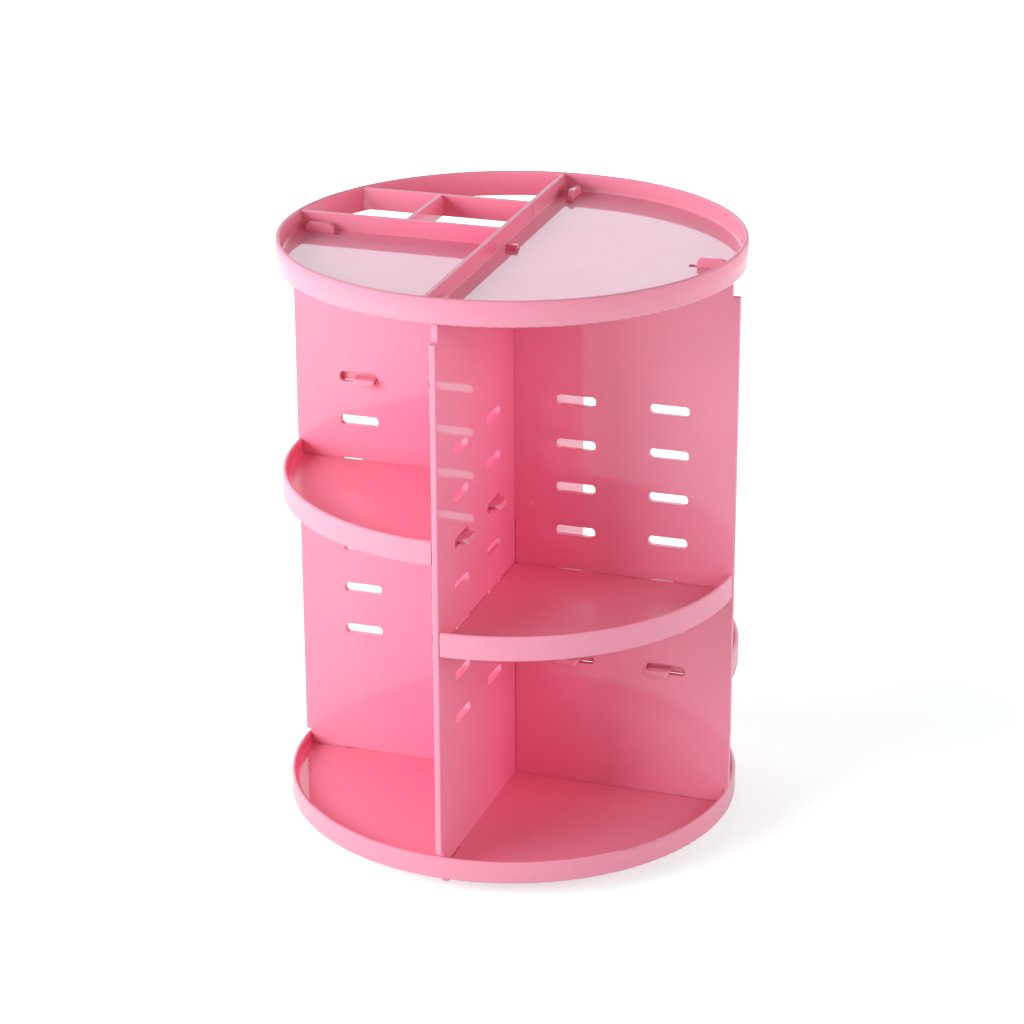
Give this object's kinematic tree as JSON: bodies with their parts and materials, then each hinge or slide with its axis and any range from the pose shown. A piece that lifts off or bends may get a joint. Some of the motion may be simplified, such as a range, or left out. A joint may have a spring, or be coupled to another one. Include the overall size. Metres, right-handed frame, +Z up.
{
  "type": "rotating cosmetics carousel",
  "caption": "Round rotating cosmetics organizer: crossed slotted boards between two rimmed trays, with hook-in quarter-round shelves in a spiral, on a ball-bearing turntable.",
  "frame": {"origin": "on the table, under the turntable's centre", "axes": "+Z up along the turntable's axis; the two boards run along X and Y; the front of the reference view lies between -Y and +X"},
  "size_m": [0.2308, 0.2308, 0.3053],
  "materials": {
    "tray_pink": "glossy pink moulded styrene",
    "board_pink": "glossy pink moulded styrene",
    "shelf_pink": "glossy pink moulded styrene",
    "turntable_plastic": "satin pink moulded plastic",
    "cage_plastic": "natural white acetal",
    "bush_plastic": "natural white acetal",
    "pad_rubber": "dark matt rubber",
    "ball_steel": "polished steel",
    "screw_steel": "zinc plated steel"
  },
  "bodies": {
    "base": {"turntable_base": "turntable_plastic", "foot_pads": "pad_rubber", "pivot_bush": "bush_plastic"},
    "cage": {"ball_cage": "cage_plastic", "bearing_balls": "ball_steel"},
    "carousel": {"turntable_top": "turntable_plastic", "tray_screws": "screw_steel", "pivot_washer": "screw_steel", "pivot_screw": "screw_steel", "bottom_tray": "tray_pink", "cross_board_x": "board_pink", "cross_board_y": "board_pink", "top_tray": "tray_pink"},
    "shelf_back_left_body": {"shelf_back_left": "shelf_pink"},
    "shelf_front_left_body": {"shelf_front_left": "shelf_pink"},
    "shelf_front_right_body": {"shelf_front_right": "shelf_pink"},
    "shelf_back_right_body": {"shelf_back_right": "shelf_pink"}
  },
  "joints": [
    {"name": "turntable_spin", "type": "hinge", "parent": "base", "child": "carousel", "pos_m": [0, 0, 0.01], "axis": [0, 0, 1], "continuous": true},
    {"name": "cage_spin", "type": "hinge", "parent": "base", "child": "cage", "pos_m": [0, 0, 0.00785], "axis": [0, 0, 1], "continuous": true},
    {"name": "shelf_back_left_pull", "type": "slide", "parent": "carousel", "child": "shelf_back_left_body", "axis": [-0.6963, 0.6963, 0.1741], "range_m": [0, 0.12]},
    {"name": "shelf_front_left_pull", "type": "slide", "parent": "carousel", "child": "shelf_front_left_body", "axis": [-0.6963, -0.6963, 0.1741], "range_m": [0, 0.12]},
    {"name": "shelf_front_right_pull", "type": "slide", "parent": "carousel", "child": "shelf_front_right_body", "axis": [0.6963, -0.6963, 0.1741], "range_m": [0, 0.12]},
    {"name": "shelf_back_right_pull", "type": "slide", "parent": "carousel", "child": "shelf_back_right_body", "axis": [0.6963, 0.6963, 0.1741], "range_m": [0, 0.12]}
  ],
  "couplings": [
    {"joint": "cage_spin", "follows": "turntable_spin", "ratio": 0.5}
  ]
}
